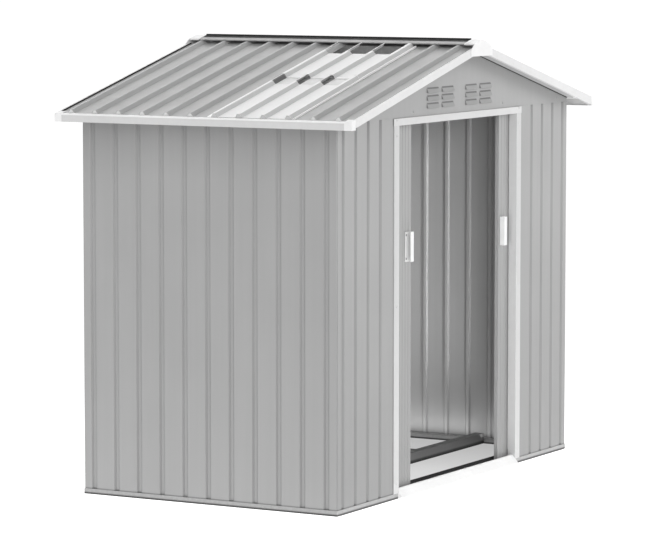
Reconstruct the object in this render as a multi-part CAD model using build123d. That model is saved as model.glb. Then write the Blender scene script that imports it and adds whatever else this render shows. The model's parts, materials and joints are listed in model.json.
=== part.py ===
"""Apex metal storage shed with two sliding doors, in millimetres.

The origin is on the ground at the middle of the plan. +Z is up and the doors face -Y.
Sheets are drawn thicker than the real ones, so that every piece is a sound solid.
"""
import math
import os

from build123d import *

# Main sizes
wall_width = 2000.0
wall_depth = 1131.0
wall_height = 1479.0
eave_rise = 13.0
eave_overhang = 66.0
front_overhang = 98.0
back_overhang = 85.0
roof_pitch = 13.76

# Sheet metal and clearances, and how far a cutting shape runs past what it cuts
sheet = 1.0
tube_wall = 1.5
gap = 0.3
cut_past = 1.0

# Pressed grooves of the walls
groove_mouth = 24.0
groove_floor = 12.0
groove_depth = 8.0
corner_margin = 46.0
side_grooves = 11
back_grooves = 20
front_grooves = 4
front_groove_pitch = 98.0
corner_return = 22.0
corner_radius = 4.0

# Base rails and floor beams
rail_height = 21.0
rail_width = 40.0
front_rail_width = 17.5
rail_proud = 1.0
beam_width = 40.0
beam_top = 45.0
beam_bottom = 6.0
cross_beam_back = 366.0
side_beam_edge = 412.0
anchor_hole = 8.5
anchor_inset = 120.0

# Doorway frame, sill and tracks, with depths measured back from the front wall's face
door_half = 512.0
jamb_face = 41.0
frame_proud = 4.0
frame_return = 26.0
header_drop = 2.0
header_height = 27.0
header_end = 3.0
sill_front = 20.0
sill_back = 15.0
sill_flat = 7.0
sill_height = 37.0
sill_lip = 4.0
track_front = 18.0
track_back = 60.0
track_height = 30.0
guide_rib_height = 22.0
guide_rib = 1.5
top_track_front = 28.0
top_track_back = 58.0
top_track_lip = 8.0
top_track_depth = 24.0
plate_upstand = 22.0

# Doors. The right one stands fully open, and the left one short of that.
door_width = 560.0
door_face = 33.0
door_fold = 16.0
door_floor_gap = 6.0
door_head_lap = 9.0
door_end_room = 8.7
left_door_out = 76.0
bead_mouth = 10.0
bead_floor = 3.0
bead_depth = 2.0
bead_pitch = 24.0
bead_count = 4
door_rail_leg = 24.0
door_middle = 800.0
slider_length = 60.0
slider_inset = 80.0
slider_neck = 8.0
hanger_height = 7.0
hanger_side_room = 2.0
shoe_width = 11.0
shoe_height = 18.0
handle_low = 912.0
handle_height = 117.0
handle_edge = 14.0
handle_plate = 38.0
handle_proud = 20.0
handle_lip = 24.0
handle_wall = 3.0

# Gable louvres
louvre_centres = (102.0, 228.0)
louvre_width = 100.0
louvre_height = 20.0
louvre_proud = 8.0
louvre_first = 47.0
louvre_pitch = 30.0
louvre_row_count = 3
louvre_wall = 1.5

# Roof sheets, skylights and trims
rib_base = 30.0
rib_top = 10.0
rib_height = 14.0
rib_pitch = 107.5
front_rib_count = 3
sky_rib_count = 4
back_rib_count = 7
side_lap = 20.0
sky_sheet = 1.5
sky_margin = 9.0
sky_step = 510.0
sky_overlap = 55.0
sky_flat_end = 172.0
notch_length = 92.0
notch_radius = 8.0
ridge_gap = 18.0
trim_height = 32.0
trim_stand = 6.0
trim_lip = 8.0
trim_flange = 24.0
trim_foot = 14.0
eave_cap_length = 32.0
seal_wall = 2.0
ridge_half = 60.0
ridge_lip = 4.0
ridge_crest = 6.0
crest_width = 3.0
end_cap_length = 48.0
end_cap_half = 93.0
end_cap_height = 62.7
end_cap_side = 26.0
end_cap_wall = 2.0
end_cap_round = 12.0

# Frame under the roof
plate_leg = 36.0
plate_flange = 32.0
ridge_beam_half = 40.0
ridge_beam_leg = 30.0
purlin_at = 515.0
purlin_flange = 40.0
purlin_leg = 35.0

# Places worked out from the sizes
side_x = wall_width / 2
roof_half = side_x + eave_overhang
roof_length = front_overhang + wall_depth + back_overhang
roof_front = -roof_length / 2
roof_back = roof_length / 2
front_y = roof_front + front_overhang
back_y = front_y + wall_depth
slope = math.tan(math.radians(roof_pitch))
lean = 1 / math.cos(math.radians(roof_pitch))
lap = sheet + gap
wall_foot = rail_height + gap
wall_inside = groove_depth + lap
rail_inner = side_x + rail_proud - rail_width - gap
eave_height = wall_height + eave_rise
reach = 4 * roof_half

# The doors hang from the track over the header, and their shoes ride on the guide rib
header_high = wall_height - header_drop
header_low = header_high - header_height
door_low = rail_height + door_floor_gap
door_high = header_low + door_head_lap
door_middle_y = front_y + door_face + door_fold / 2
door_right_open = side_x - wall_inside - door_end_room - door_width
door_left_open = door_right_open - left_door_out
top_track_low = door_high + hanger_height
top_track_roof = top_track_low + top_track_depth

# Both slopes have ribs in line. The skylight shares its first rib with the front steel sheet
# and its last one with the back steel sheet.
rib_count = front_rib_count + sky_rib_count + back_rib_count - 2
rib_first = (front_y + back_y) / 2 - rib_pitch * (rib_count - 1) / 2
ribs = [rib_first + rib_pitch * n for n in range(rib_count)]
front_ribs = ribs[:front_rib_count]
sky_ribs = ribs[front_rib_count - 1:][:sky_rib_count]
back_ribs = ribs[-back_rib_count:]
trim_inside = trim_lip + sheet + gap
sheet_low_end = roof_half - trim_inside
sky_level = sky_sheet + gap
end_cap_proud = end_cap_wall + gap


def trim_line(x):
    """Height of the roof trims' top edge at a distance x from the ridge."""
    return eave_height + (roof_half - abs(x)) * slope


def roof_under(x):
    """Height of the underside of the steel roof sheets."""
    return trim_line(x) - trim_stand - sheet * lean


def under_fit(x):
    """Height of what carries the roof sheets, one gap below them."""
    return roof_under(x) - gap


def folded(points, thickness=sheet):
    """Section of a strip folded along the points, its thickness on the left of the way."""
    ways = [(Vector(*b) - Vector(*a)).normalized() for a, b in zip(points, points[1:])]
    sides = [Vector(-way.Y, way.X) for way in ways]
    inner = [Vector(*points[0]) + sides[0] * thickness]
    for point, before, after in zip(points[1:-1], sides, sides[1:]):
        inner.append(Vector(*point) + (before + after) * (thickness / (1 + before.dot(after))))
    inner.append(Vector(*points[-1]) + sides[-1] * thickness)
    corners = [Vector(*point) for point in points] + inner[::-1]
    return make_face(Polyline(*corners, close=True))


def pressed(start, end, centres, mouth, floor, depth, level=0.0):
    """Points of a line from start to end with a pressed channel at each centre."""
    way = 1 if end > start else -1
    line = [(start, level)]
    for centre in sorted(centres, reverse=way < 0):
        line.append((centre - way * mouth / 2, level))
        line.append((centre - way * floor / 2, level + depth))
        line.append((centre + way * floor / 2, level + depth))
        line.append((centre + way * mouth / 2, level))
    line.append((end, level))
    return line


def polygon(*points):
    return make_face(Polyline(*points, close=True))


def upright(section, low, high):
    """Solid of an XY section between two heights."""
    return extrude(Plane.XY.offset(low) * section, amount=high - low)


def along_x(section, start, end):
    """Solid of a YZ section between two x."""
    return extrude(Plane.YZ.offset(start) * section, amount=end - start)


def along_y(section, start, end):
    """Solid of an XZ section between two y."""
    return extrude(Plane.XZ.offset(-end) * section, amount=end - start)


def block(low, high):
    """Box between two corners."""
    size = [b - a for a, b in zip(low, high)]
    middle = [(a + b) / 2 for a, b in zip(low, high)]
    return Pos(*middle) * Box(*size)


def other_side(piece):
    """The same piece on the other side of the shed's middle."""
    return mirror(piece, Plane.YZ)


def group(*shapes):
    """Several solids that don't touch, as one piece."""
    return Compound(children=[solid for shape in shapes for solid in shape.solids()])


def both_sides(piece):
    """A piece and its like on the other side, as one."""
    return group(piece, other_side(piece))


def rounded(piece, x, y, radius):
    """The piece with the upright edge nearest to (x, y) rounded."""
    edges = piece.edges().filter_by(Axis.Z)
    nearest = min(edges, key=lambda e: math.hypot(e.center().X - x, e.center().Y - y))
    return fillet(nearest, radius)


# Walls


def side_wall():
    """Right wall: a grooved sheet whose ends turn the corners behind the front and back sheets."""
    front, back = front_y + lap, back_y - lap
    pitch = (wall_depth - 2 * corner_margin) / (side_grooves - 1)
    centres = [front_y + corner_margin + pitch * n for n in range(side_grooves)]
    line = pressed(front, back, centres, groove_mouth, groove_floor, groove_depth)
    face = [(side_x - depth, y) for y, depth in line]
    points = [(side_x - corner_return, front)] + face + [(side_x - corner_return, back)]
    wall = upright(folded(points), wall_foot, under_fit(side_x))
    for y, inward in ((front, 1), (back, -1)):
        wall = rounded(wall, side_x - sheet, y + inward * sheet, corner_radius - sheet)
        wall = rounded(wall, side_x, y, corner_radius)
    return wall


def front_wall():
    """Grooved sheet of the front wall, to the right of the doorway."""
    first = side_x - corner_margin
    centres = [first - front_groove_pitch * n for n in range(front_grooves)]
    line = pressed(door_half + lap, side_x - corner_radius, centres,
                   groove_mouth, groove_floor, groove_depth)
    points = [(x, front_y + depth) for x, depth in line]
    return upright(folded(points), wall_foot, wall_height)


def back_wall():
    """Grooved sheet of the back wall, from corner to corner."""
    pitch = (wall_width - 2 * corner_margin) / (back_grooves - 1)
    centres = [corner_margin - side_x + pitch * n for n in range(back_grooves)]
    end = side_x - corner_radius
    line = pressed(end, -end, centres, groove_mouth, groove_floor, groove_depth)
    points = [(x, back_y - depth) for x, depth in line]
    return upright(folded(points), wall_foot, wall_height)


def louvre_places():
    """Place of the top middle of every louvre of a gable."""
    columns = [side * x for side in (-1, 1) for x in louvre_centres]
    rows = [wall_height + louvre_first + louvre_pitch * n for n in range(louvre_row_count)]
    return [Pos(x, 0, top) for x in columns for top in rows]


def louvred(gable):
    """The front gable sheet with its pressed louvres: hoods closed above and open below."""
    face, inside = front_y, front_y + sheet + cut_past
    slant = louvre_wall * math.hypot(louvre_proud, louvre_height)
    lip = face - louvre_proud + slant / louvre_height
    crown = -slant / louvre_proud
    low = -louvre_height - cut_past
    outer = polygon((face, 0), (face, -louvre_height), (face - louvre_proud, -louvre_height))
    inner = polygon((inside, crown), (inside, low), (lip, low), (lip, -louvre_height), (face, crown))
    half = louvre_width / 2
    hood = along_x(outer, -half, half)
    hollow = along_x(inner, louvre_wall - half, half - louvre_wall)
    for place in louvre_places():
        gable = gable + place * hood - place * hollow
    return gable


def gable_sheet(foot_points):
    """Flat gable sheet in the front wall's plane, louvred, with its foot along the points."""
    end = side_x - corner_radius
    foot = wall_height + gap
    points = [(end, foot), (end, under_fit(end)), (0, under_fit(0)), (-end, under_fit(end)),
              (-end, foot)] + foot_points
    return louvred(along_y(polygon(*points), front_y, front_y + sheet))


def front_gable():
    """Gable sheet whose foot drops behind the door header."""
    tongue = door_half - gap - lap
    foot, low = wall_height + gap, header_low + lap
    return gable_sheet([(-tongue, foot), (-tongue, low), (tongue, low), (tongue, foot)])


def back_gable():
    """The same louvred sheet, turned to face the back."""
    middle = (front_y + back_y) / 2
    return Pos(0, 2 * middle, 0) * (Rot(0, 0, 180) * gable_sheet([]))


# Base


def box_section(start, end, low, high):
    """Section of a hollow bar between two places across it and two heights."""
    wall = tube_wall
    outer = polygon((start, low), (end, low), (end, high), (start, high))
    inner = polygon((start + wall, low + wall), (end - wall, low + wall),
                    (end - wall, high - wall), (start + wall, high - wall))
    return outer - inner


def side_rail():
    """Right base rail, a closed box section with anchor holes near its ends."""
    outer = side_x + rail_proud
    inner = outer - rail_width
    low = (inner, front_y - rail_proud, 0)
    high = (outer, back_y + rail_proud, rail_height)
    rail = block(low, high) - block([a + tube_wall for a in low], [b - tube_wall for b in high])
    for y in (front_y + anchor_inset, back_y - anchor_inset):
        hole = Pos(inner + rail_width / 2, y, rail_height / 2)
        rail -= hole * Cylinder(anchor_hole / 2, 2 * rail_height)
    return rail


def front_rail():
    """Base rail of the front wall, to the right of the doorway."""
    start = front_y - rail_proud
    section = box_section(start, start + front_rail_width, 0, rail_height)
    return along_x(section, door_half + gap, rail_inner)


def back_rail():
    """Base rail of the back wall, between the side rails."""
    end = back_y + rail_proud
    section = box_section(end - front_rail_width, end, 0, rail_height)
    return along_x(section, -rail_inner, rail_inner)


def cross_beam():
    """Floor beam from side rail to side rail."""
    start = front_y + cross_beam_back
    section = box_section(start, start + beam_width, beam_bottom, beam_top)
    return along_x(section, -rail_inner, rail_inner)


def long_beam():
    """Right floor beam, from the cross beam back to the back rail."""
    start = front_y + cross_beam_back + beam_width + gap
    end = back_y + rail_proud - front_rail_width - gap
    section = box_section(side_beam_edge - beam_width, side_beam_edge, beam_bottom, beam_top)
    return along_y(section, start, end)


# Doorway


def jamb():
    """Right jamb, wrapped round the edge of the front sheet."""
    outer = door_half + jamb_face
    section = folded([(outer, front_y - gap), (outer, front_y - frame_proud),
                      (door_half, front_y - frame_proud), (door_half, front_y + frame_return)][::-1])
    return upright(section, wall_foot, header_low - gap)


def header():
    """Door header: a face across both jambs, with a return between them."""
    face_y = front_y - frame_proud
    lip = [(front_y - gap, header_high), (face_y, header_high), (face_y, header_low)]
    half = door_half + jamb_face + header_end
    inside = door_half - gap
    return_leg = along_x(folded(lip + [(front_y + frame_return, header_low)]), -inside, inside)
    return along_x(folded(lip), -half, half) + return_leg


def sill():
    """Sloped sill that ramps up to the doors' bottom track."""
    back = front_y + sill_back
    points = [(back, 0), (back, sill_height), (back - sill_flat, sill_height),
              (front_y - sill_front, sill_lip), (front_y - sill_front, 0)]
    half = door_half - gap
    return along_x(folded(points, tube_wall), -half, half)


def bottom_track():
    """Trough behind the front wall, with the rib that guides the doors' shoes."""
    front, back = front_y + track_front, front_y + track_back
    points = [(front, rail_height), (front, 0), (back, 0), (back, track_height)]
    trough = along_x(folded(points, tube_wall), -rail_inner, rail_inner)
    rib = block((-rail_inner, door_middle_y - guide_rib / 2, tube_wall),
                (rail_inner, door_middle_y + guide_rib / 2, guide_rib_height))
    return trough + rib


def top_track():
    """Track along the gable's foot, with two inner lips that the door hangers ride on."""
    front, back, gable = front_y + top_track_front, front_y + top_track_back, front_y + lap
    low, high = top_track_low, top_track_roof
    half = side_x - corner_return - lap
    back_side = folded([(back - top_track_lip, low), (back, low), (back, high), (gable + sheet, high),
                        (gable + sheet, under_fit(half))])
    front_side = folded([(front, high), (front, low), (front + top_track_lip, low)])
    return along_x(back_side, -half, half) + along_x(front_side, -half, half)


# Doors, built as the right one with its leading edge at x = 0 and its body towards +X


def door_panel():
    """Door skin: edges folded back, and fine pressed beads near its leading edge."""
    face = front_y + door_face
    back = face + door_fold
    centres = [bead_pitch * (n + 1) for n in range(bead_count)]
    centres += [door_width - centre for centre in centres]
    line = pressed(0, door_width, centres, bead_mouth, bead_floor, bead_depth)
    points = [(0, back)] + [(x, face + depth) for x, depth in line] + [(door_width, back)]
    return upright(folded(points), door_low, door_high)


def door_rails():
    """Channels across the door's inside: at its foot, its middle and its head."""
    near = front_y + door_face + bead_depth + lap
    far = front_y + door_face + door_fold - gap
    leg = door_rail_leg
    rails = []
    for web, legs in ((door_low + gap, leg), (door_middle, leg), (door_high - gap, -leg)):
        points = [(near, web + legs), (near, web), (far, web), (far, web + legs)]
        if legs < 0:
            points.reverse()
        rails.append(along_x(folded(points), lap, door_width - lap))
    return group(*rails)


def door_sliders():
    """Two T-shaped hangers in the top track and two slotted shoes over the guide rib."""
    track_middle = front_y + (top_track_front + top_track_back) / 2
    head_half = (top_track_back - top_track_front) / 2 - sheet - hanger_side_room
    head = top_track_low + sheet + gap
    neck_half, shoe_half = slider_neck / 2, shoe_width / 2
    shoe_top = door_low - gap
    slot = guide_rib / 2 + 2 * gap
    slot_top = guide_rib_height + 2 * gap
    solids = []
    for start in (slider_inset, door_width - slider_inset - slider_length):
        end = start + slider_length
        neck = block((start, door_middle_y - neck_half, door_high + gap),
                     (end, door_middle_y + neck_half, head + slider_neck))
        top = block((start, track_middle - head_half, head),
                    (end, track_middle + head_half, head + slider_neck))
        shoe = block((start, door_middle_y - shoe_half, shoe_top - shoe_height),
                     (end, door_middle_y + shoe_half, shoe_top))
        shoe -= block((start - cut_past, door_middle_y - slot, 0),
                      (end + cut_past, door_middle_y + slot, slot_top))
        solids += [neck + top, shoe]
    return group(*solids)


def door_handle():
    """Pull handle: a plate whose leading edge turns forward and back over the fingers."""
    face = front_y + door_face - gap
    points = [(handle_edge + handle_plate, face), (handle_edge, face),
              (handle_edge, face - handle_proud), (handle_edge + handle_lip, face - handle_proud)]
    return upright(folded(points, handle_wall), handle_low, handle_low + handle_height)


def hung_right(piece):
    """A door piece in the right door's place."""
    return Pos(door_right_open, 0, 0) * piece


def hung_left(piece):
    """A door piece in the left door's place."""
    return other_side(Pos(door_left_open, 0, 0) * piece)


# Roof, built as the right slope in its own plane: local x runs along the ridge, local y away from
# the sheets' top face, and the sheets run down the slope


def down_slope(section, start, end):
    """Solid of a section (y, rise) between two distances x from the ridge, cut upright."""
    origin = (0, 0, trim_line(0) - trim_stand)
    down = (math.cos(math.radians(roof_pitch)), 0, -math.sin(math.radians(roof_pitch)))
    plane = Plane(origin=origin, x_dir=(0, 1, 0), z_dir=down)
    length = 2 * roof_half
    bar = extrude((plane.offset(-length / 2)) * section, amount=length)
    return bar & block((start, -reach, 0), (end, reach, reach))


def raised_rib(level):
    """Mouth and top width of a rib nested on the steel ribs at a level above them."""
    side = math.atan2(rib_height, (rib_base - rib_top) / 2)
    spread = 2 * level * math.tan(side / 2)
    return rib_base + spread, rib_top + spread


def rib_line(start, end, centres, level=0.0):
    """Points of a ribbed line at a level above the steel sheets."""
    mouth, top = raised_rib(level)
    return pressed(start, end, centres, mouth, top, rib_height, level)


def roof_sheet(start, end, centres):
    """Steel roof sheet of the right slope between two y."""
    return down_slope(folded(rib_line(end, start, centres)), ridge_gap, sheet_low_end)


def roof_sheet_front():
    """Front steel sheet, whose last rib carries the skylight's front edge."""
    return roof_sheet(roof_front + trim_inside, front_ribs[-1] + side_lap, front_ribs)


def roof_sheet_back():
    """Back steel sheet, whose first rib carries the skylight's back edge."""
    return roof_sheet(back_ribs[0] - side_lap, roof_back - trim_inside, back_ribs)


def sky_section(level):
    """Skylight section: over the first rib, the ribs between, and up onto the last rib."""
    mouth, top = raised_rib(level)
    last = sky_ribs[-1]
    start = sky_ribs[0] - rib_base / 2 - sky_margin
    line = rib_line(last - mouth / 2, start, sky_ribs[:-1], level)
    head = [(last + top / 2, level + rib_height), (last - top / 2, level + rib_height)]
    return folded(head + line, sky_sheet)


def notched(piece, level, high_x, low_x):
    """The skylight with its ribs' front sides cut away between two x, round at the lower end."""
    mouth, top = raised_rib(level)
    for centre in sky_ribs[1:]:
        start, end = centre - mouth / 2 - gap, centre + top / 4
        shape = Pos((high_x + low_x) / 2, (start + end) / 2) * Rectangle(low_x - high_x, end - start)
        lower_corners = shape.vertices().group_by(Axis.X)[-1]
        piece -= upright(fillet(lower_corners, notch_radius), 0, reach)
    return piece


def skylight_lower():
    """Lower skylight: its ribs are notched where the upper one laps it."""
    high = sky_step - sky_overlap
    piece = down_slope(sky_section(sky_level), high, sheet_low_end)
    return notched(piece, sky_level, high - cut_past, sky_step + notch_length)


def skylight_upper():
    """Upper skylight: its flats stop short of the ridge, and its notched ribs carry on."""
    level = 2 * sky_level
    high = ridge_half + gap
    piece = down_slope(sky_section(level), high, sky_step)
    mouth = raised_rib(level)[0]
    for near, far in zip(sky_ribs, sky_ribs[1:]):
        piece -= block((0, near + mouth / 2, 0), (sky_flat_end, far - mouth / 2, reach))
    return notched(piece, level, high - cut_past, sky_flat_end + notch_radius)


# Trims


def trim_profile(edge, inward, height):
    """Section points of a roof edge trim: foot, face, top lip, step down and flange under the sheet.

    The points are (place, height above the trims' top edge), for a trim whose face is at edge.
    """
    step = trim_stand + sheet * lean + gap
    return [(edge + inward * trim_foot, -height), (edge, -height), (edge, 0),
            (edge + inward * trim_lip, 0), (edge + inward * trim_lip, -step),
            (edge + inward * trim_flange, -step)]


def eave_trim():
    """Right eave trim, between the corner caps."""
    points = [(x, trim_line(x) + rise) for x, rise in trim_profile(roof_half, -1, trim_height)]
    foot = eave_height - trim_height
    points[:2] = [(x, foot) for x, rise in points[:2]]
    inset = eave_cap_length + gap
    return along_y(folded(points), roof_front + inset, roof_back - inset)


def rake_trims(edge, inward):
    """Trims of both slopes' front or back edge, from the ridge to the corner caps."""
    profile = trim_profile(edge, inward, trim_height)
    points = [(y, (rise + trim_stand) / lean) for y, rise in profile]
    if inward > 0:
        points.reverse()
    return both_sides(down_slope(folded(points), gap, roof_half - eave_cap_length - gap))


def rake_seal(edge, inward):
    """Rubber strip between the back of a rake trim's lip and the roof sheet."""
    start = edge + inward * (trim_lip + gap)
    end = start + inward * seal_wall
    low, high = gap, (trim_stand - gap) / lean
    strip = polygon((start, low), (end, low), (end, high), (start, high))
    return down_slope(strip, ridge_half + gap, roof_half - eave_cap_length - gap)


def roof_seals():
    """Dark strips inside the four rake trims."""
    return both_sides(group(rake_seal(roof_front, 1), rake_seal(roof_back, -1)))


def eave_cap(edge, inward):
    """Corner cap over the ends of the right eave and rake trims."""
    low, inner_x, inside = eave_height - trim_height, roof_half - eave_cap_length, roof_half - sheet
    past_low, past_x = low - cut_past, inner_x - cut_past
    outer = polygon((inner_x, low), (roof_half, low), (roof_half, eave_height),
                    (inner_x, trim_line(inner_x)))
    hollow = polygon((past_x, past_low), (inside, past_low), (inside, eave_height - sheet * lean),
                     (past_x, trim_line(past_x) - sheet * lean))
    ends = sorted((edge, edge + inward * eave_cap_length))
    hollow_ends = sorted((edge + inward * sheet, edge + inward * (eave_cap_length + cut_past)))
    return along_y(outer, *ends) - along_y(hollow, *hollow_ends)


def eave_caps():
    """The four corner caps of the roof."""
    return both_sides(group(eave_cap(roof_front, 1), eave_cap(roof_back, -1)))


def ridge_top(x):
    """Height of the ridge cap's top face, whose lips stand on the steel sheets' ribs."""
    rib_tops = trim_line(ridge_half) - trim_stand + rib_height * lean
    return rib_tops + gap + ridge_lip + (ridge_half - abs(x)) * slope


def ridge_cap():
    """Ridge cap: two wings on the rib tops, each with a lip at its edge."""
    edge = ridge_top(ridge_half)
    points = [(ridge_half, edge - ridge_lip), (ridge_half, edge), (0, ridge_top(0)),
              (-ridge_half, edge), (-ridge_half, edge - ridge_lip)]
    inset = gap + end_cap_wall - end_cap_proud
    return along_y(folded(points), roof_front + inset, roof_back - inset)


def crest_strip():
    """Dark seam strip along the ridge cap's crest, between the end caps."""
    half = crest_width / 2
    foot = ridge_top(0) + gap
    top = foot + ridge_crest
    inset = end_cap_length - end_cap_proud + gap
    strip = polygon((-half, foot), (half, foot), (half, top), (-half, top))
    return along_y(strip, roof_front + inset, roof_back - inset)


def end_cap_outline(foot_half, foot, grow):
    """Outline round the ridge cap's end: foot corners, shoulders and a crest, grown by a wall."""
    rise = (gap + grow) * lean
    shoulder = ridge_half + gap + grow
    right = [(foot_half or shoulder, foot), (shoulder, ridge_top(shoulder) + rise)]
    left = [(-x, z) for x, z in right[::-1]]
    return right + [(0, ridge_top(0) + rise)] + left


def end_cap():
    """Front ridge end cap: a hood over the ridge cap's end, and a face that closes the gable's peak."""
    wall = end_cap_wall
    start = roof_front - end_cap_proud
    end = start + end_cap_length
    low = ridge_top(0) - end_cap_height
    shoulder_z = low + end_cap_side
    hood_foot = ridge_top(ridge_half) - ridge_lip
    outline = end_cap_outline(end_cap_half, shoulder_z, wall)
    face = along_y(polygon((end_cap_half, low), *outline, (-end_cap_half, low)), start, start + wall)
    hood = along_y(polygon(*end_cap_outline(0, hood_foot, wall)), start, end)
    hood -= along_y(polygon(*end_cap_outline(0, hood_foot - cut_past, 0)), start + wall, end + cut_past)
    cap = face + hood
    crest = max(cap.edges().filter_by(Axis.Y), key=lambda edge: edge.center().Z)
    return fillet(crest, end_cap_round)


def turned(piece):
    """A front piece turned to the back of the roof."""
    return Rot(0, 0, 180) * piece


# Frame under the roof


def wall_plate():
    """Right wall plate: a leg inside the wall and a sloped flange under the roof sheets."""
    outer = side_x - wall_inside
    inner = outer - plate_flange
    high = under_fit(outer)
    points = [(outer, high - plate_leg), (outer, high), (inner, under_fit(inner))]
    start = front_y + track_back
    return along_y(folded(points), start, back_y - wall_inside)


def back_plate():
    """Angle on the back sheet's top edge, up the inside of the gable."""
    inner, outer, middle = back_y - rail_width, back_y - lap, wall_height + gap
    points = [(inner, middle - plate_upstand), (inner, middle), (outer, middle),
              (outer, middle + plate_upstand)]
    half = side_x - wall_inside - plate_flange - gap
    return along_x(folded(points), -half, half)


def ridge_beam():
    """Folded beam under the ridge, from gable to gable."""
    half = ridge_beam_half
    high = under_fit(half)
    points = [(half, high - ridge_beam_leg), (half, high), (0, under_fit(0)), (-half, high),
              (-half, high - ridge_beam_leg)]
    return along_y(folded(points), front_y + lap, back_y - lap)


def purlin():
    """Right purlin, under the lap of the skylights."""
    outer = purlin_at + purlin_flange / 2
    inner = purlin_at - purlin_flange / 2
    high = under_fit(outer)
    points = [(outer, high - purlin_leg), (outer, high), (inner, under_fit(inner))]
    return along_y(folded(points), front_y + lap, back_y - lap)


def build():
    """Every piece by its name."""
    right_wall, right_front = side_wall(), front_wall()
    right_rail = side_rail()
    sheet_front, sheet_back = roof_sheet_front(), roof_sheet_back()
    sky_low, sky_high = skylight_lower(), skylight_upper()
    front_cap = end_cap()
    panel, rails, sliders, handle = door_panel(), door_rails(), door_sliders(), door_handle()
    return {
        "base_rail_right": right_rail,
        "base_rail_left": other_side(right_rail),
        "base_rails_front": both_sides(front_rail()),
        "base_rail_back": back_rail(),
        "floor_beam_cross": cross_beam(),
        "floor_beams_long": both_sides(long_beam()),
        "wall_right": right_wall,
        "wall_left": other_side(right_wall),
        "wall_back": back_wall(),
        "front_wall_right": right_front,
        "front_wall_left": other_side(right_front),
        "gable_front": front_gable(),
        "gable_back": back_gable(),
        "door_jambs": both_sides(jamb()),
        "door_header": header(),
        "door_sill": sill(),
        "door_track_bottom": bottom_track(),
        "door_track_top": top_track(),
        "wall_plates": group(both_sides(wall_plate()), back_plate()),
        "ridge_beam": ridge_beam(),
        "roof_purlins": both_sides(purlin()),
        "roof_sheet_right_front": sheet_front,
        "roof_sheet_left_front": other_side(sheet_front),
        "roof_sheet_right_back": sheet_back,
        "roof_sheet_left_back": other_side(sheet_back),
        "skylight_right_lower": sky_low,
        "skylight_left_lower": other_side(sky_low),
        "skylight_right_upper": sky_high,
        "skylight_left_upper": other_side(sky_high),
        "eave_trims": both_sides(eave_trim()),
        "rake_trims_front": rake_trims(roof_front, 1),
        "rake_trims_back": rake_trims(roof_back, -1),
        "roof_seals": roof_seals(),
        "eave_corner_caps": eave_caps(),
        "ridge_cap": ridge_cap(),
        "ridge_crest_strip": crest_strip(),
        "ridge_end_caps": group(front_cap, turned(front_cap)),
        "door_right_panel": hung_right(panel),
        "door_right_rails": hung_right(rails),
        "door_right_sliders": hung_right(sliders),
        "door_right_handle": hung_right(handle),
        "door_left_panel": hung_left(panel),
        "door_left_rails": hung_left(rails),
        "door_left_sliders": hung_left(sliders),
        "door_left_handle": hung_left(handle),
    }


os.makedirs("parts", exist_ok=True)
for name, piece in build().items():
    export_step(piece, f"parts/{name}.step")
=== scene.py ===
"""Looks of the metal storage shed: camera, light, finishes and small fasteners, in metres."""
import json
import math

import bmesh
import bpy
from mathutils import Matrix, Vector


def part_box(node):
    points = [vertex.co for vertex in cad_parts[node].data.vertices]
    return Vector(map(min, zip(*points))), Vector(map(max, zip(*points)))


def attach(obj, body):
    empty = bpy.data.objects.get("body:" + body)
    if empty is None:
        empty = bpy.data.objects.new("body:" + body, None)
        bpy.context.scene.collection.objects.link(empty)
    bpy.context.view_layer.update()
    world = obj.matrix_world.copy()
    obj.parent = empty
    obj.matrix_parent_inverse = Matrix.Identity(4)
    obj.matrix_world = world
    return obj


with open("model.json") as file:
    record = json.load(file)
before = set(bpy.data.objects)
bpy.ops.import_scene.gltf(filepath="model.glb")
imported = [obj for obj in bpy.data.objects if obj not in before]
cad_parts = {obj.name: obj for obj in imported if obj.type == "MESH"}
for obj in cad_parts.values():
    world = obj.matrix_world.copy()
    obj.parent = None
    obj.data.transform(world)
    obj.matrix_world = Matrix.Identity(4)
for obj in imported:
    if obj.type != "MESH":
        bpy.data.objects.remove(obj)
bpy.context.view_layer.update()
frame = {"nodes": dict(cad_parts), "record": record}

# Camera, at the photo's angle
FOCAL_SHARE = 5.4112
CAMERA_PLACE = (-12.449, -6.906, 2.210)
CAMERA_DOWN = math.radians(5.658)
CAMERA_TURN = math.radians(-60.80)
SENSOR = 36.0

# Light: sky and far lights as shares of what makes white look white, panel lamps in watts
SKY = 0.12
LEFT_FILL = 0.32
RIGHT_FILL = 0.36
TOP_KEY = 0.30
BACK_RIM = 0.53
DOORWAY_GLOW = 1.35
DOOR_SIDE_GLOW = 1.2
FOOT_GLOW = 0.33
JAMB_GLOW = 0.13
SILL_GLOW = 0.06
RIGHT_GLOW = 1.1
OVERHANG_GLOW = 0.11

# Floor: its tone and glow, the brighter painted pool of light round the shed, and the painted shade
# inside it
FLOOR_TONE = 0.25
FLOOR_GLOW = 0.84
FLOOR_POOL = 1.25
FLOOR_SHADE_LEFT = 0.52
FLOOR_SHADE_RIGHT = 0.34
FLOOR_POOL_REACH = (1.0, 4.0)
FLOOR_SHADE_SPAN = (-0.2, 0.9)
FLOOR_INSIDE = 0.985
FLOOR_HALF = 400.0

# Painted light and shade on walls and eave trims: how dark or bright each mark is, and where it starts
# and ends
GROOVE_SHADE = 0.68
GROOVE_SPAN = (-0.35, -0.12)
EAVE_SHADE = 0.19
EAVE_SHADE_START = 1.25
EAVE_SHADE_PAST = 0.006
LOW_WALL_SHADE = 0.20
LOW_WALL_SHADE_END = 1.0
RAIL_SHADE = 0.55
RAIL_SHADE_SPAN = (0.022, 0.028)
RIM_LIGHT = 1.34
RIM_DROP_START = 0.0080
RIM_DROP_END = 0.0065
INNER_LIGHT = 1.45
INNER_SPAN = (-0.6, -0.3)

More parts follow.
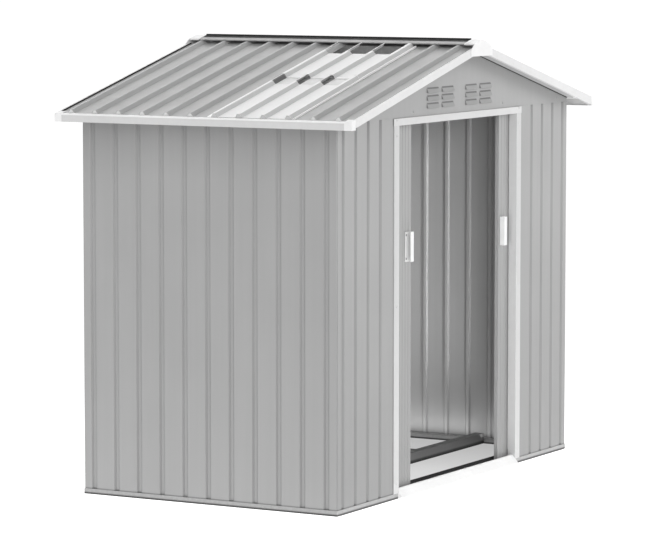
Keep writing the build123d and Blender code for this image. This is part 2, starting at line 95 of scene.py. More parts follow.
# Fasteners
HEAD_RADIUS = 0.0046
HEAD_HEIGHT = 0.0020
HEAD_PROFILE = ((1.0, 0.0), (1.0, 0.25), (0.88, 0.7), (0.66, 1.0))
HEAD_SPIN = 40.0
CROSS_HALF = 0.0007
CROSS_REACH = 0.0024
CROSS_DEPTH = 0.0012
JAMB_SCREW_HEIGHTS = (0.06, 0.75, 1.41)
HEADER_SCREW_DROP = 0.007
GABLE_SCREW_PLACES = (0.39, 0.9)
GABLE_SCREW_RISE = 0.019
HANDLE_SCREW_INSET = 0.0075
HANDLE_SCREW_MARGIN = 0.012
HANDLE_PLATE_SINK = 0.003


# Places in the frame

front_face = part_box("front_wall_right")[0].y
back_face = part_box("wall_back")[1].y
side_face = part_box("wall_right")[1].x
wall_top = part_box("front_wall_right")[1].z
eave_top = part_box("eave_trims")[1].z
doorway_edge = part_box("door_sill")[1].x


# Shader building blocks


def new_material(name, roughness, metallic=0.0):
    """A material with one Principled shader, and that shader's node."""
    material = bpy.data.materials.new(name)
    material.use_nodes = True
    tree = material.node_tree
    shader = tree.nodes["Principled BSDF"]
    shader.inputs["Roughness"].default_value = roughness
    shader.inputs["Metallic"].default_value = metallic
    return material, tree, shader


def add(tree, kind, values=None, **settings):
    """A node with its settings, and its inputs given as values or as sockets to link."""
    made = tree.nodes.new(kind)
    for key, value in settings.items():
        setattr(made, key, value)
    for key, value in (values or {}).items():
        if isinstance(value, bpy.types.NodeSocket):
            tree.links.new(value, made.inputs[key])
        else:
            made.inputs[key].default_value = value
    return made


def pattern_place(tree, stretch):
    """Coordinates in metres, divided along each axis to stretch a pattern."""
    place = add(tree, "ShaderNodeTexCoord").outputs["Object"]
    return add(tree, "ShaderNodeMapping", {"Vector": place, "Scale": stretch}).outputs["Vector"]


def noise(tree, scale, stretch=(1, 1, 1), detail=3.0):
    """Cloudy pattern from 0 to 1."""
    values = {"Vector": pattern_place(tree, stretch), "Scale": scale, "Detail": detail}
    return add(tree, "ShaderNodeTexNoise", values).outputs["Fac"]


def spread(tree, value, low, high, start=0.3, end=0.7):
    """A pattern's middle range, stretched from low to high."""
    values = {"Value": value, "From Min": start, "From Max": end, "To Min": low, "To Max": high}
    return add(tree, "ShaderNodeMapRange", values).outputs["Result"]


def times(tree, first, second):
    """Product of two values."""
    return add(tree, "ShaderNodeMath", {0: first, 1: second}, operation="MULTIPLY").outputs[0]


def unsigned(tree, value):
    """A value without its sign."""
    return add(tree, "ShaderNodeMath", {0: value}, operation="ABSOLUTE").outputs[0]


def rest_of(tree, share):
    """What a share leaves of one."""
    return add(tree, "ShaderNodeMath", {0: 1.0, 1: share}, operation="SUBTRACT").outputs[0]


def parts_of(tree, wanted):
    """X, Y and Z of the shaded point's position or normal."""
    found = add(tree, "ShaderNodeNewGeometry").outputs[wanted]
    return add(tree, "ShaderNodeSeparateXYZ", {0: found}).outputs


def edge_share(tree, radius):
    """From 0 on flat faces to 1 on a piece's edges."""
    rounded = add(tree, "ShaderNodeBevel", {"Radius": radius}, samples=4).outputs["Normal"]
    flat = add(tree, "ShaderNodeNewGeometry").outputs["True Normal"]
    dot = add(tree, "ShaderNodeVectorMath", {0: rounded, 1: flat}, operation="DOT_PRODUCT")
    return spread(tree, dot.outputs["Value"], 1.0, 0.0, 0.70, 0.97)


def crevice_shade(tree, reach, darkest):
    """Painted shade: from a darkest share deep in grooves and joints to 1 on open faces."""
    values = {"Distance": reach}
    found = add(tree, "ShaderNodeAmbientOcclusion", values, samples=8).outputs["AO"]
    return spread(tree, found, darkest, 1.0, 0.35, 1.0)


def tinted(tree, tone, shade, wear_and_highlight_tone, edge_wear_and_highlight):
    """Colour socket: a tone times a shade, and another tone on edges, partly wear and partly painted
    highlight.
    """
    grey = add(tree, "ShaderNodeCombineColor", {i: times(tree, shade, tone[i]) for i in range(3)})
    values = {0: edge_wear_and_highlight, 6: grey.outputs["Color"], 7: (*wear_and_highlight_tone, 1.0)}
    return add(tree, "ShaderNodeMix", values, data_type="RGBA").outputs[2]


def bumped(tree, shader, height, depth, strength):
    """Relief of a pattern on the shader, with a depth in metres."""
    values = {"Height": height, "Distance": depth, "Strength": strength}
    bump = add(tree, "ShaderNodeBump", values)
    tree.links.new(bump.outputs["Normal"], shader.inputs["Normal"])


# Materials


def wall_painted_shade(tree):
    """Painted shade on walls: darker towards the foot on front- and back-facing faces, a painted shadow
    below the eaves on the side walls, a dark shade line just above the base rail, and darker groove
    sides that face away from the light.
    """
    height = parts_of(tree, "Position")["Z"]
    facing = parts_of(tree, "True Normal")
    slant = spread(tree, times(tree, facing["X"], facing["Y"]), GROOVE_SHADE, 1.0, *GROOVE_SPAN)
    eave_shadow = spread(tree, height, 0.0, EAVE_SHADE, EAVE_SHADE_START, wall_top + EAVE_SHADE_PAST)
    under_eave = rest_of(tree, times(tree, unsigned(tree, facing["X"]), eave_shadow))
    lower_shade = spread(tree, height, LOW_WALL_SHADE, 0.0, 0.0, LOW_WALL_SHADE_END)
    low_down = rest_of(tree, times(tree, unsigned(tree, facing["Y"]), lower_shade))
    foot = spread(tree, height, RAIL_SHADE, 1.0, *RAIL_SHADE_SPAN)
    return times(tree, times(tree, slant, under_eave), times(tree, low_down, foot))


def eave_painted_light(tree):
    """Painted highlight along an eave trim's top rim, and painted light on its inner sides."""
    place = parts_of(tree, "Position")
    facing = parts_of(tree, "True Normal")
    rim = spread(tree, place["Z"], 1.0, RIM_LIGHT, eave_top - RIM_DROP_START, eave_top - RIM_DROP_END)
    inner = spread(tree, times(tree, facing["X"], place["X"]), INNER_LIGHT, 1.0, *INNER_SPAN)
    return times(tree, rim, inner)


def painted_metal(name, tone, roughness, streaks, edge=0.5, painted_light=None, edge_reach=0.0009):
    """Baked paint on sheet steel: faint rolling streaks, soft blotches, orange peel, painted shade in
    crevices, lighter edges that are partly wear and partly painted highlight, and any further painted
    light and shade it is given.
    """
    material, tree, shader = new_material(name, roughness)
    blotch = spread(tree, noise(tree, 3.0), 0.975, 1.025)
    streak = spread(tree, noise(tree, 40.0, streaks, 2.0), 0.985, 1.015)
    dust = spread(tree, noise(tree, 260.0, detail=2.0), 0.99, 1.01)
    shade = times(tree, times(tree, blotch, streak), times(tree, dust, crevice_shade(tree, 0.006, 0.82)))
    if painted_light:
        shade = times(tree, shade, painted_light(tree))
    edge_wear_and_highlight = times(tree, edge_share(tree, edge_reach), spread(tree, noise(tree, 25.0), 0.2, edge))
    lighter = tuple(min(0.95, value * 1.4) for value in tone)
    tree.links.new(tinted(tree, tone, shade, lighter, edge_wear_and_highlight), shader.inputs["Base Color"])
    gloss = spread(tree, noise(tree, 12.0), roughness - 0.05, roughness + 0.05)
    tree.links.new(gloss, shader.inputs["Roughness"])
    bumped(tree, shader, noise(tree, 900.0, detail=1.0), 0.00004, 0.25)
    return material


def zinc(name, tone, roughness, foot_shade_span):
    """Galvanised steel: crystal spangles that differ in tone and gloss, painted shade in crevices, a
    painted contact shadow along its foot, and lighter edges that are partly wear and partly painted
    highlight.
    """
    material, tree, shader = new_material(name, roughness, 0.35)
    values = {"Vector": pattern_place(tree, (1, 1, 1)), "Scale": 95.0}
    cells = add(tree, "ShaderNodeTexVoronoi", values)
    grain = add(tree, "ShaderNodeSeparateColor", {0: cells.outputs["Color"]}).outputs[0]
    height = parts_of(tree, "Position")["Z"]
    foot_shade = spread(tree, height, 0.15, 1.0, *foot_shade_span)
    spangle = spread(tree, grain, 0.92, 1.07, 0.0, 1.0)
    shade = times(tree, times(tree, spangle, foot_shade), crevice_shade(tree, 0.006, 0.60))
    edge_wear_and_highlight = times(tree, edge_share(tree, 0.0008), 0.4)
    lighter = tuple(min(0.9, value * 1.3) for value in tone)
    tree.links.new(tinted(tree, tone, shade, lighter, edge_wear_and_highlight), shader.inputs["Base Color"])
    tree.links.new(spread(tree, grain, roughness - 0.08, roughness + 0.08, 0.0, 1.0),
                   shader.inputs["Roughness"])
    bumped(tree, shader, noise(tree, 400.0, detail=2.0), 0.00003, 0.2)
    return material


def moulded(name, tone, roughness, grain=0.3):
    """Moulded plastic or rubber: fine grain, slight mottling and lighter edges that look softly rounded,
    partly wear and partly painted highlight.
    """
    material, tree, shader = new_material(name, roughness)
    shade = spread(tree, noise(tree, 18.0), 0.97, 1.03)
    edge_wear_and_highlight = times(tree, edge_share(tree, 0.0008), 0.35)
    lighter = tuple(min(0.97, value * 1.2 + 0.01) for value in tone)
    tree.links.new(tinted(tree, tone, shade, lighter, edge_wear_and_highlight), shader.inputs["Base Color"])
    tree.links.new(spread(tree, noise(tree, 30.0), roughness - 0.06, roughness + 0.06),
                   shader.inputs["Roughness"])
    bumped(tree, shader, noise(tree, 1400.0, detail=1.0), 0.00003, grain)
    return material


def milky_sheet(name, tone, roughness):
    """Milky roof-light sheet that lets some light through, with painted shade on its steep rib sides and
    a painted highlight on its cut edges.
    """
    material, tree, shader = new_material(name, roughness)
    shader.inputs["Transmission Weight"].default_value = 0.08
    shader.inputs["IOR"].default_value = 1.45
    # Painted shade: faces that turn front or back, the steep rib sides, are darker
    steep = unsigned(tree, parts_of(tree, "Normal")["Y"])
    shade = times(tree, spread(tree, noise(tree, 6.0), 0.985, 1.015),
                  spread(tree, steep, 1.0, 0.70, 0.3, 0.75))
    edge_wear_and_highlight = edge_share(tree, 0.0012)
    tree.links.new(tinted(tree, tone, shade, (0.98, 0.98, 0.98), edge_wear_and_highlight), shader.inputs["Base Color"])
    bumped(tree, shader, noise(tree, 220.0, (0.2, 1, 1), 1.0), 0.0001, 0.15)
    return material


def grey(value):
    """Neutral tone."""
    return (value, value, value)


EVEN = (1, 1, 1)
UPRIGHT_STREAKS = (1, 1, 0.03)
SLOPE_STREAKS = (0.03, 1, 1)
RIDGE_STREAKS = (1, 0.03, 1)
TRIM_TONE = grey(0.65)

# Several finishes below are lighter or darker copies of one paint, toned by how much light reaches the
# parts that wear them: painted light and painted shade. The bright beads are painted highlights; the
# greyer bands, dark pads and dark slots are painted shade.
materials = {
    "sheet_grey": painted_metal("sheet_grey_upright", grey(0.375), 0.48, UPRIGHT_STREAKS,
                                painted_light=wall_painted_shade),
    "closure_grey": painted_metal("sheet_grey_closure", grey(0.80), 0.46, EVEN),
    "lining_grey": painted_metal("sheet_grey_lining", grey(0.54), 0.5, SLOPE_STREAKS),
    "sheet_roof": painted_metal("sheet_grey_roof", grey(0.415), 0.46, SLOPE_STREAKS),
    "ridge_grey": painted_metal("sheet_grey_ridge", grey(0.31), 0.45, RIDGE_STREAKS),
    "trim_white": painted_metal("trim_white_coat", TRIM_TONE, 0.40, EVEN, 0.9, edge_reach=0.0015),
    "jamb_white": painted_metal("trim_white_jamb", grey(0.60), 0.40, EVEN, 0.6),
    "rake_white": painted_metal("trim_white_rake", grey(0.75), 0.40, EVEN, 0.6),
    "eave_white": painted_metal("trim_white_eave", TRIM_TONE, 0.40, EVEN, 0.6, eave_painted_light),
    "sill_white": painted_metal("trim_white_sill", grey(0.97), 0.40, EVEN, 0.6),
    "zinc_shaded": zinc("zinc_floor_beams", grey(0.22), 0.50, (0.010, 0.018)),
    "galvanised": zinc("zinc_spangle", grey(0.42), 0.46, (0.004, 0.010)),
    "skylight": milky_sheet("milky_roof_light", grey(0.92), 0.42),
    "white_plastic": moulded("plastic_white", grey(0.86), 0.42),
    "slider_plastic": moulded("plastic_black", grey(0.035), 0.5),
    "skylight_highlight_bead": moulded("milky_highlight_bead", grey(0.98), 0.35),
    "closure_milky": moulded("milky_closure", grey(0.66), 0.4),
    "skylight_shade_band": moulded("milky_shade_band", grey(0.74), 0.45),
    "shade_pad_grey": moulded("painted_shade_pad", grey(0.13), 0.65, 0.4),
    "slot_shade_grey": moulded("slot_shade_grey", grey(0.19), 0.65, 0.4),
    "seal_rubber": moulded("rubber_black", grey(0.02), 0.75, 0.5),
    "track_dark": painted_metal("track_dark_coat", (0.035, 0.035, 0.037), 0.45, SLOPE_STREAKS),
}

# Nodes, by how their names start, that wear another finish than their slot's: a lighter or darker copy
# of the same paint, as painted light and shade
OWN_FINISHES = {
    "roof_sheet": "sheet_roof",
    "rake_trims": "rake_white",
    "door_jambs": "jamb_white",
    "eave_trims": "eave_white",
    "ridge_cap": "ridge_grey",
    "door_sill": "sill_white",
    "floor_beam": "zinc_shaded",
}


def finish_of(node, slot):
    """Which finish a CAD node wears."""
    own = [finish for start, finish in OWN_FINISHES.items() if node.startswith(start)]
    return own[0] if own else slot


def dress_nodes():
    """Gives every CAD node its finish."""
    for part in frame["record"]["subparts"]:
        node = frame["nodes"][part["node"]]
        material = materials[finish_of(part["node"], part["material_slot"])]
        if not node.material_slots:
            node.data.materials.append(material)
        for place in node.material_slots:
            place.material = material


dress_nodes()


# Building pieces


def placed(mesh, name, finish, body):
    """Turns a bmesh into a finished piece that rides on a body."""
    bmesh.ops.recalc_face_normals(mesh, faces=mesh.faces)
    data = bpy.data.meshes.new(name)
    mesh.to_mesh(data)
    mesh.free()
    piece = bpy.data.objects.new(name, data)
    bpy.context.scene.collection.objects.link(piece)
    data.materials.append(materials[finish])
    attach(piece, body)


def solid(mesh, *rings):
    """Closed solid through rings of points."""
    corners = [[mesh.verts.new(point) for point in ring] for ring in rings]
    count = len(rings[0])
    for lower, upper in zip(corners, corners[1:]):
        for i in range(count):
            j = (i + 1) % count
            mesh.faces.new((lower[i], lower[j], upper[j], upper[i]))
    mesh.faces.new(corners[0][::-1])
    mesh.faces.new(corners[-1])


# Fasteners


def screw_rings():
    """Rings of a pan head with a cross recess, from its foot to the recess's floor, along +Z."""
    w, r = CROSS_HALF, CROSS_REACH
    quarter = [(r, -w), (r, w), (w, w)]
    cross = []
    for turn in range(4):
        c, s = round(math.cos(turn * math.pi / 2)), round(math.sin(turn * math.pi / 2))
        cross += [(x * c - y * s, x * s + y * c) for x, y in quarter]
    angles = [math.atan2(y, x) for x, y in cross]
    rings = []
    for wide, high in HEAD_PROFILE:
        radius = wide * HEAD_RADIUS
        rings.append([(radius * math.cos(a), radius * math.sin(a), high * HEAD_HEIGHT) for a in angles])
    for height in (HEAD_HEIGHT, HEAD_HEIGHT - CROSS_DEPTH):
        rings.append([(x, y, height) for x, y in cross])
    return rings


def screws(name, places, finish, body):
    """Joined pan-head screws at (place, outward direction) pairs, riding on a body."""
    rings = screw_rings()
    mesh = bmesh.new()
    for place, outward in places:
        turn = Vector(outward).to_track_quat("Z", "Y").to_matrix().to_4x4()
        spin = Matrix.Rotation(sum(place) * HEAD_SPIN, 4, "Z")
        where = Matrix.Translation(place) @ turn @ spin
        solid(mesh, *([where @ Vector(point) for point in ring] for ring in rings))
    placed(mesh, name, finish, body)


FRONT, BACK = (0, -1, 0), (0, 1, 0)


def both(x):
    """A place and its mirror image."""
    return (-x, x)


def frame_screws():
    """White screws up both door jambs and at the header's ends."""
    low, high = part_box("door_jambs")
    middle = (high.x + doorway_edge) / 2
    places = [(x, low.y, z) for x in both(middle) for z in JAMB_SCREW_HEIGHTS]
    head_low, head_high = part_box("door_header")
    places += [(x, head_low.y, head_high.z - HEADER_SCREW_DROP) for x in both(middle)]
    return [(place, FRONT) for place in places]


def gable_screws():
    """Grey screws along the feet of both gables."""
    z = wall_top + GABLE_SCREW_RISE
    across = [x for place in GABLE_SCREW_PLACES for x in both(place)]
    sides = ((front_face, FRONT), (back_face, BACK))
    return [((x, y, z), outward) for y, outward in sides for x in across]


def handle_screws(side):
    """Two screws on the plate of one door's handle."""
    low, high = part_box(f"door_{side}_handle")
    x = high.x - HANDLE_SCREW_INSET if side == "right" else low.x + HANDLE_SCREW_INSET
    heights = (low.z + HANDLE_SCREW_MARGIN, high.z - HANDLE_SCREW_MARGIN)
    return [((x, high.y - HANDLE_PLATE_SINK, z), FRONT) for z in heights]


screws("frame_screws", frame_screws(), "trim_white", "shed")
screws("gable_screws", gable_screws(), "sheet_roof", "shed")
for side in ("right", "left"):
    screws(f"handle_{side}_screws", handle_screws(side), "galvanised", f"door_{side}")


# Small roof and gable details

HAIR = 0.0001
SIDES = (-1, 1)
ROOF_PITCH = math.radians(13.76)
SHEET = 0.001
RIB_HEIGHT = 0.014
RIB_FOOT_HALF = 0.015
RIB_TOP_HALF = 0.005
FIRST_RIB = -0.58475
RIB_PITCH = 0.1075
RIB_COUNT = 12
SKY_FRONT_RIB = 2
SKY_BACK_RIB = 5
SKY_BAYS = range(SKY_FRONT_RIB, SKY_BACK_RIB)
roof_low, roof_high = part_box("roof_sheet_left_front")
sky_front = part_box("skylight_left_lower")[0].y
upper_low, upper_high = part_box("skylight_left_upper")
lap_line, crown_line = -upper_low.x, -upper_high.x
flat_crown = roof_high.z - RIB_HEIGHT / math.cos(ROOF_PITCH) - roof_high.x * math.tan(ROOF_PITCH)
flat_end = -roof_low.x - RIB_HEIGHT * math.sin(ROOF_PITCH)

# Plugs in the ribs' ends
PLUG_BACK = 0.006
PLUG_SINK = 0.0004
PLUG_FOOT_HALF = RIB_FOOT_HALF - 1.3 * SHEET
PLUG_TOP_HALF = RIB_TOP_HALF - 0.6 * SHEET
PLUG_HEIGHT = RIB_HEIGHT - 1.1 * SHEET

# Bright beads, painted highlights, and greyer bands, painted shade, on the roof lights, as distances
# from an edge and levels above the flats
BEAD_FOOT = 0.0002
FRONT_BEAD_FAR = 0.0050
FRONT_BEAD_NEAR = 0.0003
FRONT_BEAD_TOP = 0.0064
UPPER_SHEET_LIFT = 0.002
BACK_BEAD_NEAR = 0.001
BACK_BEAD_FAR = 0.033
BACK_BEAD_TOP = 0.0012
STEP_NEAR = 0.0003
STEP_FAR = 0.0043
STEP_LEVELS = (0.0020, 0.0062)
STEP_MARGIN = 0.003
BAND_NEAR = 0.0045
BAND_FAR = 0.084
BAND_LEVELS = (0.0021, 0.0024)
BAND_MARGIN = 0.004

# Dark pads in the rib notches: painted shade
PAD_NEAR = 0.001
PAD_FAR = 0.086
PAD_LIFT = 0.00005
PAD_TOP = 0.00030
PAD_FOOT_LEVEL = 0.0014
PAD_FOOT_INSET = 0.001
PAD_FOOT_OUTSET = 0.0006

# Flaps of the ridge's seam strip
FLAP_NEAR = 0.0002
FLAP_FAR = 0.024
FLAP_ROOT = 0.0012
FLAP_TIP = 0.0009

# Linings and seals under the overhangs
OVERHANG_EDGE = -0.632
LINING_CROWN_GAP = 0.004
LINING_EAVE_GAP = 0.002
LINING_MARGIN = 0.0005
LINING_LEVELS = (-0.0062, -0.0050)
SEAL_WIDTH = 0.0022
SEAL_LEVELS = (-0.0088, -0.0063)

# Strips behind the jambs, and the dark bead beside the right one, a painted shadow
STRIP_OFFSET = 0.0008
STRIP_HALF = 0.0005
STRIP_FOOT = 0.0320
STRIP_LOW = 0.0600
STRIP_HIGH = 1.4200
STRIP_TOP_GAP = 0.0005
STRIP_DOOR_GAP = 0.0015
STRIP_SLIDER_GAP = 0.0008
JAMB_BEAD_FOOT = 0.03
JAMB_BEAD_DROP = 0.003
JAMB_BEAD_WIDTH = 0.003
JAMB_BEAD_PROUD = 0.0012

# Dark strips at floor level: painted shadow
FLOOR_STRIP_INSET = 0.006
UPSTAND_GAP = 0.0003
UPSTAND_SHEET = 0.0015
UPSTAND_FOOT = 0.002
UPSTAND_RISE = 0.0068
PACKING_INSET = 0.0004
PACKING_FOOT = 0.0005
PACKING_GAP = 0.0002

# Dark slots at the louvres' heads: painted shade
LOUVRE_CENTRES = (0.102, 0.228)
LOUVRE_TOPS = (1.526, 1.556, 1.586)
LOUVRE_HALF = 0.050
LOUVRE_HEIGHT = 0.020
LOUVRE_PROUD = 0.008
SLOT_HEIGHT = 0.0052
SLOT_INSET = 0.003
SLOT_LIFT = 0.0002
SLOT_SKIN = 0.0004
SLOT_LIP = 0.0006


def rib_place(n):
    """Where a rib's middle lies along the ridge."""
    return FIRST_RIB + RIB_PITCH * n


def bay_span(n, margin):
    """Flat between rib n and the next, less a margin at each foot."""
    y = rib_place(n)
    return (y + RIB_FOOT_HALF + margin, y + RIB_PITCH - RIB_FOOT_HALF - margin)


def rectangle(first, second):
    """Corners of a rectangle from its two spans."""
    return [(first[0], second[0]), (first[1], second[0]), (first[1], second[1]), (first[0], second[1])]


def on_roof(side, x, y, level):
    """Point at a height above a slope's flats, square to it, over a distance x from the ridge."""
    rise = level * math.cos(ROOF_PITCH)
    z = flat_crown - x * math.tan(ROOF_PITCH) + rise
    return (side * (x + level * math.sin(ROOF_PITCH)), y, z)


def roof_bar(mesh, side, x_span, outline):
    """Bar along a slope, with its outline as (y, level) pairs."""
    solid(mesh, *([on_roof(side, x, y, level) for y, level in outline] for x in x_span))


def box_bar(mesh, axis, span, first, second):
    """Square-edged bar along axis 0 or 2, over a span, with its two other spans in axis order."""
    corners = rectangle(first, second)
    solid(mesh, *([(end, a, b) if axis == 0 else (a, b, end) for a, b in corners] for end in span))


def rib_closures(name, ribs, finish):
    """Plugs that close some of the ribs' ends at both eaves; each set's finish is toned by how light
    falls on the rib ends, as painted light and shade.
    """
    mesh = bmesh.new()
    span = (flat_end - PLUG_BACK, flat_end - PLUG_SINK)
    for side in SIDES:
        for n in ribs:
            y = rib_place(n)
            outline = [(y - PLUG_FOOT_HALF, 0.0), (y + PLUG_FOOT_HALF, 0.0),
                       (y + PLUG_TOP_HALF, PLUG_HEIGHT), (y - PLUG_TOP_HALF, PLUG_HEIGHT)]
            roof_bar(mesh, side, span, outline)
    placed(mesh, name, finish, "shed")


def skylight_highlight_beads():
    """Bright beads along the roof lights' front and back edges and their laps: painted highlights along
    the sheets' edges.
    """
    mesh = bmesh.new()
    back_rib = rib_place(SKY_BACK_RIB)
    front = (sky_front - FRONT_BEAD_FAR, sky_front - FRONT_BEAD_NEAR)
    back = (back_rib + RIB_FOOT_HALF + BACK_BEAD_NEAR, back_rib + BACK_BEAD_FAR)
    step = (lap_line + STEP_NEAR, lap_line + STEP_FAR)
    runs = (((lap_line, flat_end), FRONT_BEAD_TOP),
            ((crown_line, lap_line), FRONT_BEAD_TOP + UPPER_SHEET_LIFT))
    for side in SIDES:
        for span, top in runs:
            roof_bar(mesh, side, span, rectangle(front, (BEAD_FOOT, top)))
            roof_bar(mesh, side, span, rectangle(back, (BEAD_FOOT, BACK_BEAD_TOP)))
        for n in SKY_BAYS:
            roof_bar(mesh, side, step, rectangle(bay_span(n, STEP_MARGIN), STEP_LEVELS))
    placed(mesh, "skylight_highlight_beads", "skylight_highlight_bead", "shed")


def lap_shade_bands():
    """Slightly greyer bands on the lower roof lights' flats, below the upper sheets' ends: painted
    shade.
    """
    mesh = bmesh.new()
    span = (lap_line + BAND_NEAR, lap_line + BAND_FAR)
    for side in SIDES:
        for n in SKY_BAYS:
            roof_bar(mesh, side, span, rectangle(bay_span(n, BAND_MARGIN), BAND_LEVELS))
    placed(mesh, "lap_shade_bands", "skylight_shade_band", "shed")


def notch_shade_pads():
    """Dark pads on the back lap rib, where the lower roof light's rib is notched: painted shade in the
    notches.
    """
    mesh = bmesh.new()
    y = rib_place(SKY_BACK_RIB)
    span = (lap_line + PAD_NEAR, lap_line + PAD_FAR)
    low, high = RIB_HEIGHT + PAD_LIFT, RIB_HEIGHT + PAD_TOP
    foot, top = y - RIB_FOOT_HALF, y - RIB_TOP_HALF
    outline = [(foot + PAD_FOOT_INSET, PAD_FOOT_LEVEL), (top - PAD_LIFT, low), (y + RIB_TOP_HALF, low),
               (y + RIB_TOP_HALF, high), (top - PAD_TOP, high), (foot + PAD_FOOT_OUTSET, PAD_FOOT_LEVEL)]
    for side in SIDES:
        roof_bar(mesh, side, span, outline)
    placed(mesh, "notch_shade_pads", "shade_pad_grey", "shed")


def crest_flaps():
    """Dark flaps of the seam strip, lying on both wings of the ridge cap."""
    low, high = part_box("ridge_crest_strip")
    ridge_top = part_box("ridge_cap")[1].z
    root, tip = high.x + FLAP_NEAR, high.x + FLAP_FAR
    root_z, tip_z = (ridge_top - x * math.tan(ROOF_PITCH) for x in (root, tip))
    section = [(root, root_z + HAIR), (tip, tip_z + HAIR),
               (tip, tip_z + FLAP_TIP), (root, root_z + FLAP_ROOT)]
    mesh = bmesh.new()
    for side in SIDES:
        solid(mesh, *([(side * x, y, z) for x, z in section] for y in (low.y, high.y)))
    placed(mesh, "crest_flaps", "seal_rubber", "shed")


def overhang_linings():
    """Plain linings under the roof's front and back overhangs, in a lighter copy of the sheet paint as
    painted light, and a dark seal at each gable.
    """
    lining, seal = bmesh.new(), bmesh.new()
    ends = (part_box("ridge_beam")[1].x + LINING_CROWN_GAP, side_face - LINING_EAVE_GAP)
    for side in SIDES:
        for face, trim in ((front_face, OVERHANG_EDGE), (back_face, -OVERHANG_EDGE)):
            near, far = sorted((face, trim))
            near, far = near + LINING_MARGIN, far - LINING_MARGIN
            at_gable = (far - SEAL_WIDTH, far) if face < 0 else (near, near + SEAL_WIDTH)
            roof_bar(lining, side, ends, rectangle((near, far), LINING_LEVELS))
            roof_bar(seal, side, ends, rectangle(at_gable, SEAL_LEVELS))
    placed(lining, "overhang_linings", "lining_grey", "shed")
    placed(seal, "overhang_seals", "seal_rubber", "shed")


def jamb_strips():
    """White edge strips behind both door jambs, and a dark bead beside the right one that is a painted
    shadow.
    """
    strips, bead = bmesh.new(), bmesh.new()
    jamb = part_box("door_jambs")[1]
    door_face, slider_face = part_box("door_right_panel")[0].y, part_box("door_right_sliders")[0].y
    deep = (jamb.y + HAIR, door_face - STRIP_DOOR_GAP)
    shallow = (jamb.y + HAIR, slider_face - STRIP_SLIDER_GAP)
    low_end = (STRIP_FOOT, STRIP_LOW - HAIR)
    high_end = (STRIP_HIGH + HAIR, jamb.z - STRIP_TOP_GAP)
    for x in both(doorway_edge + STRIP_OFFSET):
        width = (x - STRIP_HALF, x + STRIP_HALF)
        box_bar(strips, 2, (STRIP_LOW, STRIP_HIGH), width, deep)
        box_bar(strips, 2, low_end, width, shallow)
        box_bar(strips, 2, high_end, width, shallow)
    height = (JAMB_BEAD_FOOT, jamb.z - JAMB_BEAD_DROP)
    width = (jamb.x + HAIR, jamb.x + HAIR + JAMB_BEAD_WIDTH)
    box_bar(bead, 2, height, width, (front_face - JAMB_BEAD_PROUD, front_face - HAIR))
    placed(strips, "jamb_strips", "jamb_white", "shed")
    placed(bead, "jamb_shadow_bead", "shade_pad_grey", "shed")


def floor_shadow_strips():
    """Dark upstand behind the bottom track, and dark packing under the cross beam: painted shadow at
    floor level.
    """
    mesh = bmesh.new()
    low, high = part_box("door_track_bottom")
    span = (low.x + FLOOR_STRIP_INSET, high.x - FLOOR_STRIP_INSET)
    depth = (high.y + UPSTAND_GAP, high.y + UPSTAND_GAP + UPSTAND_SHEET)
    box_bar(mesh, 0, span, depth, (UPSTAND_FOOT, high.z + UPSTAND_RISE))
    low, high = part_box("floor_beam_cross")
    depth = (low.y + PACKING_INSET, high.y - PACKING_INSET)
    box_bar(mesh, 0, span, depth, (PACKING_FOOT, low.z - PACKING_GAP))
    placed(mesh, "floor_shadow_strips", "seal_rubber", "shed")


def slot_section(face, outward, top):
    """A slot's section as (y, z) pairs, from a louvre's head down its slanted front."""
    proud = LOUVRE_PROUD * SLOT_HEIGHT / LOUVRE_HEIGHT
    near, far = face + outward * HAIR, face + outward * (proud + SLOT_LIFT)
    skin, foot = outward * SLOT_SKIN, top - SLOT_HEIGHT
    return [(near, top), (near + skin, top + SLOT_LIP), (far + skin, foot), (far, foot)]


def louvre_shade_slots():
    """Dark slots along the heads of the gables' louvres: painted shade."""
    mesh = bmesh.new()
    half = LOUVRE_HALF - SLOT_INSET
    centres = [x for centre in LOUVRE_CENTRES for x in both(centre)]
    for face, outward in ((front_face, -1), (back_face, 1)):
        for centre in centres:
            for top in LOUVRE_TOPS:
                section = slot_section(face, outward, top)
                solid(mesh, *([(x, y, z) for y, z in section] for x in (centre - half, centre + half)))
    placed(mesh, "louvre_shade_slots", "slot_shade_grey", "shed")


rib_closures("steel_rib_closures", (*range(SKY_FRONT_RIB), *range(SKY_BACK_RIB + 1, RIB_COUNT)),
             "closure_grey")
rib_closures("skylight_rib_closures", range(SKY_FRONT_RIB, SKY_BACK_RIB + 1), "closure_milky")
skylight_highlight_beads()
lap_shade_bands()
notch_shade_pads()
crest_flaps()
overhang_linings()
jamb_strips()
floor_shadow_strips()
louvre_shade_slots()


# Stage, light and camera


